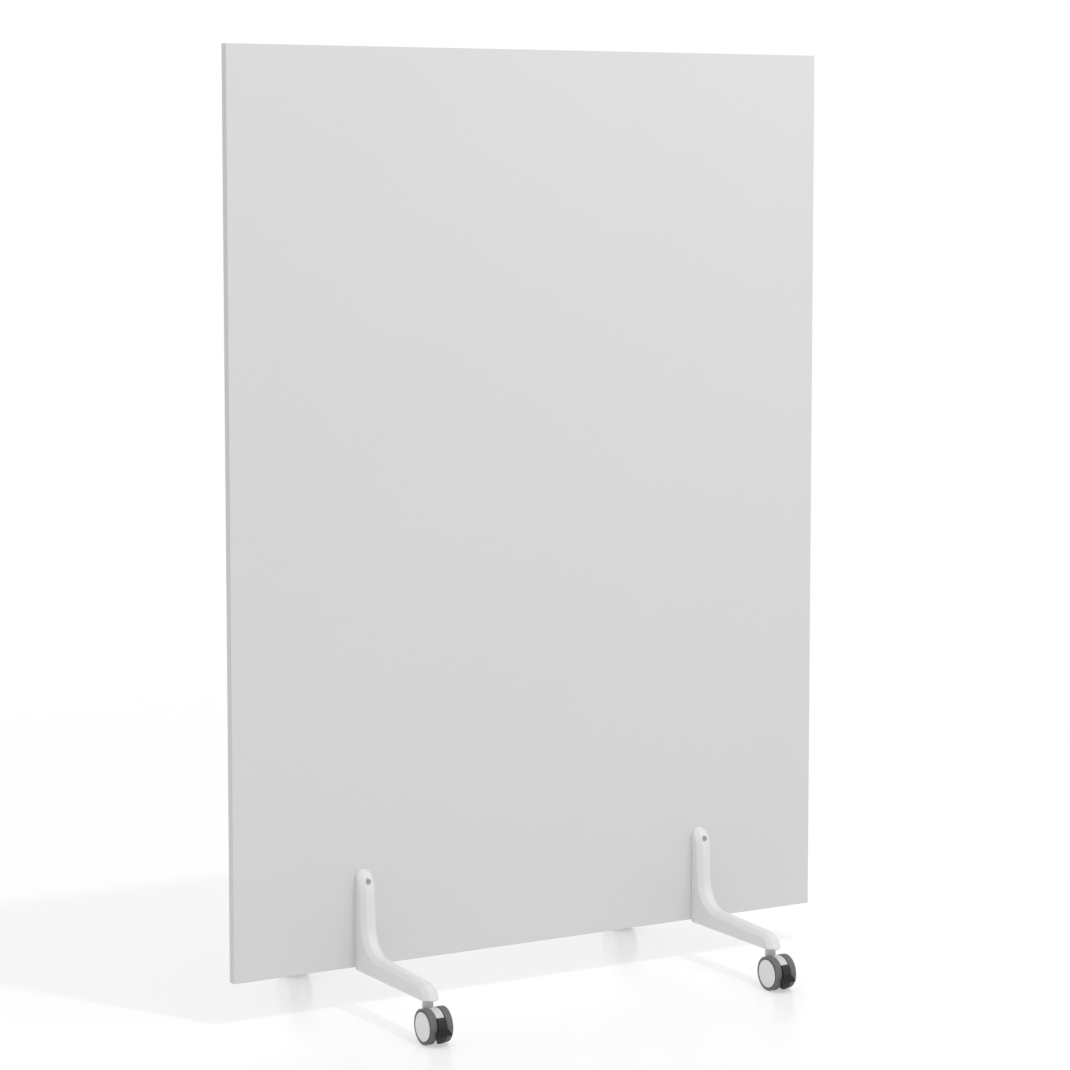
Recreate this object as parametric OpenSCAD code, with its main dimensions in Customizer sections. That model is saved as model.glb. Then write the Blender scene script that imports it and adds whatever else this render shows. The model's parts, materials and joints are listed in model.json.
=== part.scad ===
// Rolling partition: a rigid panel clamped between two pairs of cast legs on
// braked twin-wheel casters. The origin is on the floor under the middle of the
// panel, the panel's width runs along X and its front faces -Y.

/* [Panel] */
// Width of the panel
panel_w = 1372; // [900:1:1800]
// Height of the panel
panel_h = 1829; // [1000:1:2100]
// Thickness of the finished panel
panel_t = 19; // [16:0.5:28]
// Thickness of the laminate sheet on each face
face_t = 0.8; // [0.5:0.1:1.5]
// Thickness of the strip round the panel's edges
edge_t = 1; // [0.5:0.1:3]

/* [Legs] */
// Distance from the panel's side to the middle of a leg
leg_inset = 285; // [120:1:400]
// Width of a leg
leg_w = 35; // [32:0.5:44]
// Width of the bevel along both front corners of a leg
leg_bevel = 10; // [6:0.5:11]
// Height of a leg from its underside to its crown
leg_h = 203.5; // [190:0.5:240]
// How far a leg's underside hangs below the panel
leg_drop = 5.5; // [4:0.5:10]
// Depth of the upright where it meets the elbow
upright_d = 32; // [29:0.5:36]
// Depth of the upright where its crown begins
shoulder_d = 29.5; // [28.5:0.5:32]
// Radius of the crown, seen from the side
crown_r = 55; // [52:1:60]
// Height of the crown's arc
crown_h = 47; // [45:0.5:49]
// Inner radius of the elbow
elbow_r = 60; // [50:1:65]
// Height of the arm where it leaves the elbow
arm_h = 38.5; // [36:0.5:44]
// Height of the arm where the nose begins
nose_h = 31; // [29:0.5:36]
// Distance from the panel to the start of the nose
arm_l = 262; // [240:1:300]
// Radius of the nose, seen from the side
nose_r = 30; // [28:1:32]
// Slope of the nose's end
nose_slope = 60; // [55:1:65]

/* [Fasteners] */
// Distance from the crown down to the clamp bolt
bolt_drop = 22; // [20:0.5:24]
// Diameter of the clamp bolt
bolt_d = 6; // [5:0.5:6]
// Diameter of the bolt's and the nut's head
bolt_head_d = 10; // [9:0.5:10.5]
// Diameter of the round recess that the head sits in
recess_d = 12.4; // [11:0.2:14]
// Thickness of the head
bolt_head_t = 4; // [3:0.5:5]
// Distance from the panel to the seat under the head
bolt_seat = 15; // [13:0.5:16]
// Width across the flats of the hex socket
bolt_key = 4; // [3:0.5:5]
// Outer diameter of the sleeve nut's barrel
sleeve_d = 8; // [7.5:0.5:9]
// Diameter of the locating dowel
dowel_d = 8; // [6:0.5:10]
// Depth of the dowel in each leg
dowel_in = 10.5; // [8:0.5:14]
// Height of the dowel above the leg's underside
dowel_h = 29; // [20:1:60]

/* [Caster] */
// Distance from the panel's face to the swivel axis
stem_reach = 270; // [250:1:275]
// Diameter of the threaded stem
stem_d = 10; // [8:0.5:12]
// Length of the stem in the leg
stem_in = 18; // [14:0.5:20]
// Diameter of the collar under the leg
collar_d = 21.5; // [18:0.5:24]
// Height of the collar above the wheels' tops
collar_h = 11.5; // [8:0.5:30]
// Depth of the collar below the wheels' tops, in the hood's pocket
collar_in = 6; // [5:0.1:6.5]
// Diameter of the wheels
wheel_d = 70; // [64:0.5:90]
// Width of one wheel
wheel_w = 14; // [13:0.5:20]
// Gap between the two wheels
wheel_gap = 20.4; // [20.4:0.2:24]
// Distance from the swivel axis to the wheel axis
trail = 23.5; // [23:0.5:28]
// Radial thickness of the tyre
tyre_t = 6.2; // [5:0.1:6.5]
// Radius of the tyre's shoulders
shoulder_r = 5.8; // [2:0.1:6]
// Step between the tyre's inner face and the side disc
disc_step = 0.3; // [0.2:0.1:1]
// Thickness of the side disc
disc_t = 1.6; // [1.2:0.1:2]
// Diameter of the axle
axle_d = 6; // [5:0.5:7]
// Width of the hood
hood_w = 17.5; // [17:0.5:18]
// Gap between the hood and the wheels' rims, seen from the side
hood_inset = 0.8; // [0.5:0.1:1.2]
// Thickness of the hood's wall
hood_t = 3; // [2.5:0.1:3.2]
// Thickness of the web inside the hood
web_t = 5; // [4:0.5:5.5]
// Diameter of the boss that turns on the stem
boss_d = 16; // [15:0.5:16.5]

/* [Brake] */
// Width of the brake lever between the wheels
lever_w = 19.4; // [14:0.2:19.6]
// Thickness of the lever's shell
lever_t = 3; // [2.5:0.1:3.5]
// Width of the lever's foot lip
lip_w = 37; // [30:1:44]
// Diameter of the lever's pivot pin
pin_d = 4; // [3:0.1:4.5]
// Diameter of the brake bar
bar_d = 3; // [2.5:0.1:3.2]
// Angle that the lever is pressed down by
lever_throw = 9; // [7:0.5:9]
// Number of teeth that the brake bar locks into
tooth_count = 12; // [8:1:16]
// Radius over the teeth
tooth_r = 24; // [23:0.1:24]

/* [Clearances] */
// Radial clearance of a pin that turns in its bore
running = 0.06; // [0.02:0.01:0.1]
// Radial clearance of a bolt in its hole and of the collar in its pocket
loose = 0.3; // [0.1:0.05:0.4]
// Gap between the collar and the floor of the hood's pocket
swivel_gap = 0.3; // [0.2:0.05:0.5]

/* [Hidden] */
wheel_r = wheel_d / 2;
leg_x = panel_w / 2 - leg_inset;
disc_d = wheel_d - 2 * tyre_t - 2 * disc_step;
collar_z = wheel_d - collar_in;
boss_top = collar_z - swivel_gap;
leg_z = wheel_d + collar_h;
panel_gap = leg_z + leg_drop;
leg_half = leg_w / 2;
bolt_z = leg_z + leg_h - bolt_drop;
dowel_z = leg_z + dowel_h;
core_w = panel_w - 2 * edge_t;
core_h = panel_h - 2 * edge_t;
core_t = panel_t - 2 * face_t;

// The bolt's shank runs in the sleeve nut, which passes the far leg and the panel
sleeve_in = 9;
sleeve_bottom = 4;

// Heights in the caster, from the floor
hood_r = wheel_r - hood_inset;
hood_in_r = hood_r - hood_t;
boss_h = 12;
clip_t = 1;
clip_z = boss_top - boss_h - 0.5 - clip_t;
clip_d = stem_d + 3.6;
journal_end = clip_z - 1;

// Widths in the caster, from the middle plane outwards
wheel_in = wheel_gap / 2;
wheel_out = wheel_in + wheel_w;
hub_boss_in = 6;
axle_boss_w = 11;
tooth_in = 7;
rim_t = 2;
rim_r = wheel_r - tyre_t;
hub_web_in = wheel_in + 3.8;
hub_web_t = 3;
rivet_t = 1;
disc_proud = 0.8;
disc_in = wheel_out + disc_proud - disc_t;
axle_end = disc_in - 0.8;

// Brake lever, seen from the side: [outwards, up] from the wheel axis
pivot = (hood_in_r - 4) * [cos(47.2), sin(47.2)];
bar_at = [tooth_r + 2, 0];
shell_c = [4, -2.5];
shell_r = wheel_r + 0.5;
shell_from = -52;
shell_to = 41.5;
arm_in = web_t / 2 + 0.7;
arm_t = 3;
lip_in = wheel_r + 3.7;
lip_t = 3.1;
lip_low = -13;
lip_high = 0.5;
lip_tip = [-12.2, -10];
hood_from = 37;
hood_to = 205;

// The bar's place when the lever is pressed, and the slots that receive it there
bar_swing = bar_at - pivot;
bar_locked = pivot + [
    bar_swing[0] * cos(lever_throw) + bar_swing[1] * sin(lever_throw),
    bar_swing[1] * cos(lever_throw) - bar_swing[0] * sin(lever_throw)
];
slot_w = bar_d + 2.4;
slot_turn = 0.7 * atan2(bar_locked[1], bar_locked[0]);
slot_floor = norm(bar_locked) - bar_d / 2 - 0.7;
tooth_wall = 2;

$fn = 48;

paint = [0.90, 0.90, 0.90];
laminate = [0.84, 0.84, 0.84];
light_grey = [0.82, 0.82, 0.82];
dark_grey = [0.43, 0.43, 0.44];
steel = [0.62, 0.62, 0.63];
black = [0.16, 0.16, 0.17];

// Each corner: name, side along X, side along Y
CORNERS = [
    ["front_left", -1, -1],
    ["front_right", 1, -1],
    ["back_left", -1, 1],
    ["back_right", 1, 1]
];
CASTER_PIECES = [
    "hood", "axle", "outer_hub", "inner_hub", "outer_tyre", "inner_tyre",
    "outer_disc", "inner_disc", "brake_lever", "lever_pin", "brake_bar"
];

// ---------------------------------------------------------------- placing

// Puts a piece drawn for a front left leg at a corner. It is drawn with its
// panel face at y = 0, reaching out along -Y, and the panel's side towards -X.
module at_corner(corner) {
    translate([corner[1] * leg_x, corner[2] * panel_t / 2, 0])
        mirror([corner[1] > 0 ? 1 : 0, 0, 0])
            mirror([0, corner[2] > 0 ? 1 : 0, 0])
                children();
}

// Puts a piece drawn round its swivel axis under a corner's leg
module at_stem(corner) {
    at_corner(corner)
        translate([0, -stem_reach, 0])
            children();
}

// Puts a piece drawn round its wheel axis on a corner's caster
module at_axle(corner) {
    at_stem(corner)
        translate([0, -trail, wheel_r])
            children();
}

// Extrudes an outline drawn as [outwards, up] along X, centred
module plate(thickness) {
    rotate([0, 0, -90])
        rotate([90, 0, 0])
            linear_extrude(thickness, center = true)
                children();
}

// Turns a profile drawn as [radius, distance along X] round the X axis
module turned() {
    rotate([0, 90, 0])
        rotate_extrude()
            children();
}

// A rod along X between two places
module rod_x(diameter, from, to) {
    translate([from, 0, 0])
        rotate([0, 90, 0])
            cylinder(d = diameter, h = to - from);
}

// A rod along Y, from a distance behind the panel's face to one in front of it
module rod_y(diameter, from, to) {
    translate([0, -from, 0])
        rotate([90, 0, 0])
            cylinder(d = diameter, h = to - from);
}

// A sector of a ring, angles counted from outwards to upwards
module ring_sector(centre, r_in, r_out, from, to) {
    steps = 20;
    angles = [for (i = [0:steps]) from + (to - from) * i / steps];
    polygon(concat(
        [for (a = angles) centre + r_out * [cos(a), sin(a)]],
        [for (i = [steps:-1:0]) centre + r_in * [cos(angles[i]), sin(angles[i])]]
    ));
}

// ------------------------------------------------------------------ panel

// Holes through the panel for the sleeve nuts and dowels
module panel_holes() {
    for (side = [-1, 1]) {
        translate([side * leg_x, 0, bolt_z])
            rod_y(sleeve_d + 2 * loose, -panel_t, panel_t);
        translate([side * leg_x, 0, dowel_z])
            rod_y(dowel_d + 2 * running, -panel_t, panel_t);
    }
}

module panel_core() {
    color("burlywood")
        difference() {
            translate([-core_w / 2, -core_t / 2, panel_gap + edge_t])
                cube([core_w, core_t, core_h]);
            panel_holes();
        }
}

// One laminate sheet, on the side of the panel that y_side says
module face_sheet(y_side) {
    color(laminate)
        difference() {
            translate([-core_w / 2, y_side * (core_t + face_t) / 2 - face_t / 2, panel_gap + edge_t])
                cube([core_w, face_t, core_h]);
            panel_holes();
        }
}

// A strip across the full width, with its lower face at a height
module level_strip(z) {
    color(laminate)
        translate([-panel_w / 2, -panel_t / 2, z])
            cube([panel_w, panel_t, edge_t]);
}

// A strip up one side, between the two level strips
module upright_strip(x_side) {
    color(laminate)
        translate([x_side * (panel_w - edge_t) / 2 - edge_t / 2, -panel_t / 2, panel_gap + edge_t])
            cube([edge_t, panel_t, core_h]);
}

// ------------------------------------------------------------------- legs

// A leg is a row of six-cornered sections. Each is given as its base point on
// the panel or the underside, its front point, the way in from the front, its
// half width and its bevel. Points are [distance from panel, height].
crown_turns = [0, 12, 24];
dome_turns = [0, 16, 32, 47, 60, 71, 80];
dome_z = leg_h - leg_half;
shoulder_z = leg_h - crown_h;
elbow_c = [upright_d + elbow_r, arm_h + elbow_r];
arm_fall = atan((arm_h - nose_h) / (arm_l - elbow_c[0]));
nose_c = [arm_l - nose_r * sin(arm_fall), nose_h - nose_r * cos(arm_fall)];
slope_start = nose_c + nose_r * [sin(nose_slope), cos(nose_slope)];
elbow_steps = 8;
nose_steps = 6;

// Depth of the leg at a height on its crown
function crown_depth(z) =
    shoulder_d - crown_r + sqrt(crown_r * crown_r - pow(z - shoulder_z, 2));

// Sections of the dome, from the top down
function dome_sections() = [
    for (i = [len(dome_turns) - 1:-1:0])
        let (
            z = dome_z + leg_half * sin(dome_turns[i]),
            half = leg_half * cos(dome_turns[i])
        )
        [[0, z], [crown_depth(z), z], [-1, 0], half, leg_bevel * half / leg_half]
];

// Sections from the dome down to the elbow
function upright_sections() = [
    for (z = [(dome_z + shoulder_z) / 2, shoulder_z])
        [[0, z], [crown_depth(z), z], [-1, 0], leg_half, leg_bevel]
];

// Sections round the elbow, whose bases go down the panel and out along the floor side
function elbow_sections() = [
    for (i = [0:elbow_steps])
        let (
            turn = (90 - arm_fall) * i / elbow_steps,
            way = [cos(turn), sin(turn)],
            half_way = elbow_steps / 2,
            base = i < half_way
                ? [0, elbow_c[1] * (1 - i / half_way)]
                : [elbow_c[0] * (i / half_way - 1), 0]
        )
        [base, elbow_c - elbow_r * way, -way, leg_half, leg_bevel]
];

// Sections round the nose, and the last one flat on the underside
function nose_sections() =
    let (
        end = slope_start + slope_start[1] * [1 / tan(nose_slope), -1],
        bevel_foot = end[0] - leg_bevel / sin(nose_slope)
    )
    concat(
        [for (i = [0:nose_steps])
            let (
                turn = arm_fall + (nose_slope - arm_fall) * i / nose_steps,
                way = [sin(turn), cos(turn)]
            )
            [[arm_l + i * (bevel_foot - 2 - arm_l) / (nose_steps + 1), 0],
                nose_c + nose_r * way, -way, leg_half, leg_bevel]],
        [[[bevel_foot - 2, 0], end, [bevel_foot - end[0], 0] / leg_bevel, leg_half, leg_bevel]]
    );

// The six corners of a section, in the leg's own frame
function section_points(s) =
    let (base = s[0], front = s[1], side = s[1] + s[4] * s[2])
    [
        [-s[3], -base[0], base[1]],
        [-s[3], -side[0], side[1]],
        [s[4] - s[3], -front[0], front[1]],
        [s[3] - s[4], -front[0], front[1]],
        [s[3], -side[0], side[1]],
        [s[3], -base[0], base[1]]
    ];

module leg_body() {
    sections = concat(dome_sections(), upright_sections(), elbow_sections(), nose_sections());
    last = len(sections) - 1;
    polyhedron(
        points = [for (s = sections) for (p = section_points(s)) p],
        faces = concat(
            [for (k = [1:4]) [0, k + 1, k]],
            [for (k = [1:4]) [6 * last, 6 * last + k, 6 * last + k + 1]],
            [for (i = [0:last - 1]) for (k = [0:5])
                let (a = 6 * i + k, b = 6 * i + (k + 1) % 6)
                each k < 3
                    ? [[a, b, a + 6], [b, b + 6, a + 6]]
                    : [[a, b, b + 6], [a, b + 6, a + 6]]]
        )
    );
}

module leg() {
    color(paint)
        difference() {
            translate([0, 0, leg_z])
                leg_body();
            // Clamp bolt's hole and the seat for its head
            translate([0, 0, bolt_z]) {
                rod_y(sleeve_d + 2 * loose, -1, upright_d);
                rod_y(recess_d, bolt_seat, upright_d + 1);
            }
            // Blind hole for the dowel
            translate([0, 0, dowel_z])
                rod_y(dowel_d + 2 * running, -1, dowel_in + loose);
            // Tapped hole for the caster's stem
            translate([0, -stem_reach, leg_z - 1])
                cylinder(d = stem_d + 2 * running, h = stem_in + 1.5);
        }
}

// -------------------------------------------------------------- fasteners

// A head with a hex socket, its seat on y = 0 and its face towards -Y
module socket_head() {
    difference() {
        rod_y(bolt_head_d, 0, bolt_head_t);
        translate([0, -bolt_head_t / 2, 0])
            rotate([90, 0, 0])
                cylinder(d = bolt_key / cos(30), h = bolt_head_t, $fn = 6);
    }
}

module clamp_bolts() {
    color(steel)
        for (side = [-1, 1])
            translate([side * leg_x, -panel_t / 2 - bolt_seat, bolt_z]) {
                socket_head();
                rod_y(bolt_d, -(bolt_seat + panel_t + sleeve_bottom), 1);
            }
}

module sleeve_nuts() {
    color(steel)
        for (side = [-1, 1])
            translate([side * leg_x, panel_t / 2 + bolt_seat, bolt_z])
                mirror([0, 1, 0])
                    difference() {
                        union() {
                            socket_head();
                            rod_y(sleeve_d, -(bolt_seat + panel_t + sleeve_in), 1);
                        }
                        rod_y(bolt_d + 2 * running, -(bolt_seat + panel_t + sleeve_in + 1), -sleeve_bottom);
                    }
}

module locating_dowels() {
    color(steel)
        for (side = [-1, 1])
            translate([side * leg_x, 0, dowel_z])
                rod_y(dowel_d, -panel_t / 2 - dowel_in, panel_t / 2 + dowel_in);
}

// ---------------------------------------------------------- caster: fixed

// Threaded shank in the leg, collar under it, and the journal that the hood turns on
module caster_stem() {
    difference() {
        union() {
            translate([0, 0, leg_z])
                cylinder(d = stem_d, h = stem_in);
            translate([0, 0, collar_z])
                cylinder(d = collar_d, h = leg_z - collar_z);
            translate([0, 0, journal_end])
                cylinder(d = stem_d, h = leg_z - journal_end);
        }
        // Groove for the clip
        translate([0, 0, clip_z - 0.1])
            difference() {
                cylinder(d = stem_d + 2, h = clip_t + 0.2);
                translate([0, 0, -1])
                    cylinder(d = stem_d - 1.6, h = clip_t + 3);
            }
    }
}

// Spring clip snapped into the journal's groove, open towards the wheels
module stem_clip() {
    translate([0, 0, clip_z])
        difference() {
            cylinder(d = clip_d, h = clip_t);
            translate([0, 0, -1])
                cylinder(d = stem_d - 1.4, h = clip_t + 2);
            translate([-stem_d / 2 + 1.5, -clip_d, -1])
                cube([stem_d - 3, clip_d, clip_t + 2]);
        }
}

module caster_stems() {
    color(steel)
        for (c = CORNERS)
            at_stem(c)
                caster_stem();
}

module stem_clips() {
    color(steel)
        for (c = CORNERS)
            at_stem(c)
                stem_clip();
}

// -------------------------------------------------------- caster: turning

// The hood's web, which carries the axle, the lever's pin and the stem's boss
module hood_web() {
    plate(web_t)
        difference() {
            union() {
                ring_sector([0, 0], 4, hood_in_r + 0.5, 60, hood_to - 1);
                polygon([
                    [0, 0], [0, -6], pivot + [4.2, -1], pivot + [1, 4.2],
                    (hood_in_r - 2) * [cos(74), sin(74)]
                ]);
                circle(d = 14);
                translate(pivot)
                    circle(d = 8.4);
            }
            circle(d = axle_d);
            translate(pivot)
                circle(d = pin_d);
        }
}

module hood() {
    color(light_grey)
        difference() {
            union() {
                plate(hood_w)
                    ring_sector([0, 0], hood_in_r, hood_r, hood_from, hood_to);
                // Thicker wall under the pocket
                plate(hood_w)
                    ring_sector([0, 0], hood_in_r - hood_t, hood_in_r + 0.5, 106, 152);
                hood_web();
                plate(axle_boss_w)
                    difference() {
                        circle(d = 13);
                        circle(d = axle_d);
                    }
                translate([0, trail, boss_top - boss_h - wheel_r])
                    cylinder(d = boss_d, h = boss_h);
            }
            // Pocket for the collar, bore on the stem, and room under it for the clip
            translate([0, trail, -wheel_r]) {
                translate([0, 0, boss_top])
                    cylinder(d = collar_d + 2 * loose, h = collar_in + 1);
                translate([0, 0, boss_top - boss_h - 1])
                    cylinder(d = stem_d + 2 * running, h = boss_h + 2);
                translate([0, 0, journal_end - 1])
                    cylinder(d = clip_d + 2, h = boss_top - boss_h - journal_end + 1);
            }
        }
}

// Axle with a peened head at each end
module axle() {
    color(steel) {
        rod_x(axle_d, -axle_end, axle_end);
        for (side = [-1, 1])
            translate([side * (axle_end - rivet_t / 2), 0, 0])
                rod_x(axle_d + 2.5, -rivet_t / 2, rivet_t / 2);
    }
}

// Ring of teeth on the inner side of a hub, with slots for the brake bar
module tooth_ring() {
    translate([tooth_in, 0, 0])
        mirror([1, 0, 0])
            translate([-(hub_web_in - tooth_in) / 2, 0, 0])
                plate(hub_web_in - tooth_in)
                    difference() {
                        circle(r = tooth_r);
                        circle(r = slot_floor - tooth_wall);
                        for (i = [0:tooth_count - 1])
                            rotate(slot_turn + i * 360 / tooth_count)
                                translate([slot_floor, -slot_w / 2])
                                    square([10, slot_w]);
                    }
}

// Hub of the wheel on the +X side
module hub() {
    boss_r = 7;
    bore_r = axle_d / 2 + running;
    boss_out = axle_end - rivet_t - 0.2;
    color(dark_grey) {
        turned()
            difference() {
                union() {
                    translate([bore_r, hub_boss_in])
                        square([boss_r - bore_r, boss_out - hub_boss_in]);
                    translate([boss_r - 0.5, hub_web_in])
                        square([rim_r - boss_r, hub_web_t]);
                    translate([rim_r - rim_t, wheel_in])
                        square([rim_t, disc_in - wheel_in - 0.1]);
                }
            }
        tooth_ring();
    }
}

// Tyre of the wheel on the +X side, with rounded shoulders
module tyre() {
    arc_steps = 5;
    s = min(shoulder_r, tyre_t - 0.2);
    color(dark_grey)
        turned()
            polygon(concat(
                [[rim_r, wheel_in], [wheel_r - s, wheel_in]],
                [for (i = [1:arc_steps])
                    let (a = 90 * i / arc_steps)
                    [wheel_r - s + s * sin(a), wheel_in + s - s * cos(a)]],
                [for (i = [0:arc_steps - 1])
                    let (a = 90 * i / arc_steps)
                    [wheel_r - s + s * cos(a), wheel_out - s + s * sin(a)]],
                [[wheel_r - s, wheel_out], [disc_d / 2 + 0.1, wheel_out],
                    [disc_d / 2 + 0.1, disc_in - 0.1], [rim_r, disc_in - 0.1]]
            ));
}

// Side disc of the wheel on the +X side, with the ring that clips into the hub
module disc() {
    clip_r = rim_r - rim_t;
    color(light_grey)
        turned()
            union() {
                translate([0, disc_in])
                    square([disc_d / 2, disc_t]);
                translate([clip_r - 1.6, disc_in - 2.5])
                    square([1.55, 3]);
            }
}

// ------------------------------------------------------------------ brake

// Curved shell of the lever, concentric with itself and not with the wheel
module lever_shell() {
    plate(lever_w)
        ring_sector(shell_c, shell_r - lever_t, shell_r, shell_from, shell_to);
}

// Foot lip: a flat blade with pointed ends that reach over both tyres
module lever_lip() {
    tip = lip_w / 2;
    root = lever_w / 2;
    translate([0, -lip_in, 0])
        rotate([90, 0, 0])
            linear_extrude(lip_t)
                polygon([
                    [-root, lip_low], [root, lip_low], [tip, lip_tip[0]], [tip, lip_tip[1]],
                    [root, lip_high], [-root, lip_high], [-tip, lip_tip[1]], [-tip, lip_tip[0]]
                ]);
    plate(lever_w)
        polygon([
            [lip_in - 2.9, lip_low], [lip_in + 0.5, lip_low],
            [lip_in + 0.5, lip_high], [lip_in - 2.2, lip_high]
        ]);
}

// Two arms that carry the shell on the pin and hold the brake bar
module lever_arms() {
    shell_in = shell_r - lever_t + 0.3;
    for (side = [-1, 1])
        translate([side * (arm_in + arm_t / 2), 0, 0])
            plate(arm_t)
                difference() {
                    union() {
                        translate(pivot)
                            circle(r = 3.6);
                        translate(bar_at)
                            circle(r = 3.2);
                        polygon([
                            pivot + [-3.2, -1.6], pivot + [3.6, 0.2],
                            shell_c + shell_in * [cos(25.3), sin(25.3)],
                            shell_c + shell_in * [cos(4.3), -sin(4.3)],
                            bar_at + [0, -3.2], bar_at + [-3.1, 0.8]
                        ]);
                    }
                    translate(pivot)
                        circle(d = pin_d + 2 * running);
                    translate(bar_at)
                        circle(d = bar_d);
                }
}

module brake_lever() {
    color(black) {
        lever_shell();
        lever_lip();
        lever_arms();
    }
}

module lever_pin() {
    half = arm_in + arm_t + 0.6;
    color(steel)
        translate([0, -pivot[0], pivot[1]])
            rod_x(pin_d, -half, half);
}

module brake_bar() {
    half = wheel_in - 0.7;
    color(steel)
        translate([0, -bar_at[0], bar_at[1]])
            rod_x(bar_d, -half, half);
}

// ---------------------------------------------------------------- drawing

panel_core();
face_sheet(-1);  // front_face
face_sheet(1);  // back_face
level_strip(panel_gap + panel_h - edge_t);  // top_edge_strip
level_strip(panel_gap);  // bottom_edge_strip
upright_strip(-1);  // left_edge_strip
upright_strip(1);  // right_edge_strip
clamp_bolts();
sleeve_nuts();
locating_dowels();
caster_stems();
stem_clips();
for (c = CORNERS) {
    at_corner(c) leg();
    at_axle(c) hood();
    at_axle(c) axle();
    at_axle(c) mirror([1, 0, 0]) hub();
    at_axle(c) hub();
    at_axle(c) mirror([1, 0, 0]) tyre();
    at_axle(c) tyre();
    at_axle(c) mirror([1, 0, 0]) disc();
    at_axle(c) disc();
    at_axle(c) brake_lever();
    at_axle(c) lever_pin();
    at_axle(c) brake_bar();
}
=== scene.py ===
# %% [markdown]
# # A rolling partition
# A flat, light grey panel stands between two pairs of white cast legs. Each leg ends in a
# twin-wheel caster with a black foot brake. This lesson dresses the finished construction
# model of it: the exact model gives the place of every piece, and each cell below makes one
# piece or one finish as it looks on the real thing.

# %% Load the construction model
import json
from math import atan, atan2, cos, degrees, dist, pi, radians, sin, sqrt, tan

import bmesh
import bpy
from mathutils import Matrix, Vector


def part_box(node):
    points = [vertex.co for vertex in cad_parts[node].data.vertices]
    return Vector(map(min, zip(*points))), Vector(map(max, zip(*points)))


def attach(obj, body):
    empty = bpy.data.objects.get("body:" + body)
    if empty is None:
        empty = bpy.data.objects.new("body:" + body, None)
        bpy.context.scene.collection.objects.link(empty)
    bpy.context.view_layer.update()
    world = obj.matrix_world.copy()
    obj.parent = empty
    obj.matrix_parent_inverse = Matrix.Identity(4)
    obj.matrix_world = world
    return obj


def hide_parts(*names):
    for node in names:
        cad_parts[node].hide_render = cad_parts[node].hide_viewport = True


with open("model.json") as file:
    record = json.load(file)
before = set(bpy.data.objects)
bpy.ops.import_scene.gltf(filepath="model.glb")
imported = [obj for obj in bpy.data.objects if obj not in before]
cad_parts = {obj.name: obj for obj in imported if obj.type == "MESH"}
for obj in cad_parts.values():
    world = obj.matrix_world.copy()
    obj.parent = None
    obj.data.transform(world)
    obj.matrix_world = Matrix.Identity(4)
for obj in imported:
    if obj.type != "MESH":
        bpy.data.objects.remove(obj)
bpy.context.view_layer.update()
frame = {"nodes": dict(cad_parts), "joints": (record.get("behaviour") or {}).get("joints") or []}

MM = 0.001

# %% [markdown]
# ## Where things are
# The model is kept in metres and its origin is on the floor under the panel. The joints of
# the construction model say where each caster turns, so those places are read from it
# and never typed in again. Pieces are made for the near corner, which is the front left one,
# and a corner's two signs say how they are mirrored to get there.

# %% Places of the casters
CORNERS = {"front_left": (1, 1), "front_right": (-1, 1), "back_left": (1, -1), "back_right": (-1, -1)}
joint_at = {joint["name"]: Vector(joint["pos_m"]) for joint in frame["joints"] if "pos_m" in joint}
axle_at = {corner: joint_at[corner + "_outer_wheel_spin"] for corner in CORNERS}
stem_at = {corner: joint_at[corner + "_swivel_turn"] for corner in CORNERS}
near_axle, near_stem = axle_at["front_left"], stem_at["front_left"]
near_pin = joint_at["front_left_lever_press"]
panel_low, panel_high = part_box("panel_core")
strip_low, strip_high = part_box("top_edge_strip")
panel_t = strip_high[1] - strip_low[1]
print("axle of the near caster:", [round(v, 4) for v in near_axle])

# %% [markdown]
# ## Node trees in plain expressions
# A finish is a small sum: some noise, times an amount, plus a base value. Blender draws such
# sums as chains of Math nodes. The classes below add any node with one call, and let ordinary
# Python operators add the Math nodes, so that a finish reads like the sum it is. The world
# and the rules that grow a mesh are node trees too, and use the same two classes.

# %% Sockets that can be added and multiplied
class Value:
    """The output of a node, which plain operators work on."""

    def __init__(self, owner, socket):
        self.owner = owner
        self.socket = socket

    def math(self, operation, other=0.0):
        return self.owner.node("ShaderNodeMath", {"operation": operation}, [self, other])

    def __add__(self, other):
        return self.math("ADD", other)

    def __sub__(self, other):
        return self.math("SUBTRACT", other)

    def __mul__(self, other):
        return self.math("MULTIPLY", other)

    def __rsub__(self, other):
        return self.owner.node("ShaderNodeMath", {"operation": "SUBTRACT"}, [other, self])

    __radd__ = __add__


class Tree:
    """A node tree under construction. Inputs are plain values or outputs of other nodes."""

    def __init__(self, tree):
        self.tree = tree

    def node(self, kind, settings=None, inputs=(), output=0):
        made = self.tree.nodes.new(kind)
        for key, value in (settings or {}).items():
            setattr(made, key, value)
        pairs = inputs.items() if isinstance(inputs, dict) else enumerate(inputs)
        for key, value in pairs:
            if isinstance(value, Value):
                self.tree.links.new(value.socket, made.inputs[key])
            else:
                made.inputs[key].default_value = value
        return Value(self, made.outputs[output]) if len(made.outputs) else None


print("operators on node outputs ready")

# %% [markdown]
# ## Materials under construction
# Every finish below uses the same few things: noise in object coordinates, which sits still
# on the piece when it moves; a soft step between two values; and a blend of two colours.
# They get short names here. Colours are written as the display levels that a picture shows.

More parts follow.
